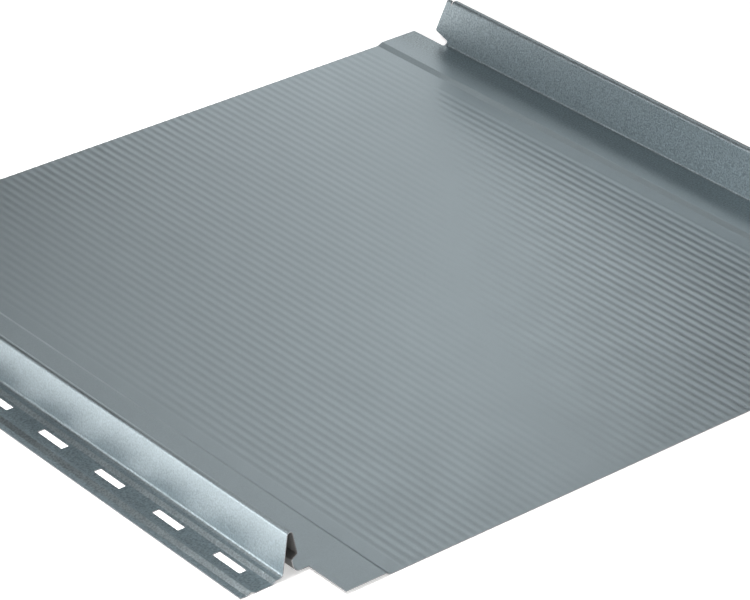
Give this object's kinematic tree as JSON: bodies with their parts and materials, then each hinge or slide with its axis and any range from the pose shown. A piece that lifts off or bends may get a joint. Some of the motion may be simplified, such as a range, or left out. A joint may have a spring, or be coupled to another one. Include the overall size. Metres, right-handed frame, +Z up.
{
  "type": "snap-lock roof panel",
  "caption": "Standing-seam roof panel in coated steel with a slotted fastening flange, a snap-lock seam along each side and a finely waved pan.",
  "frame": {"origin": "middle of the panel's underside, on the plane that it lies on", "axes": "+X across the panel towards the female lock, +Y along the seams towards the end with the nosed web, +Z up"},
  "size_m": [0.513, 0.4914, 0.0329],
  "materials": {
    "coated_steel": "satin grey-blue coil coating with a fine metallic grain"
  },
  "bodies": {
    "root": {"roof_panel": "coated_steel"}
  },
  "joints": []
}
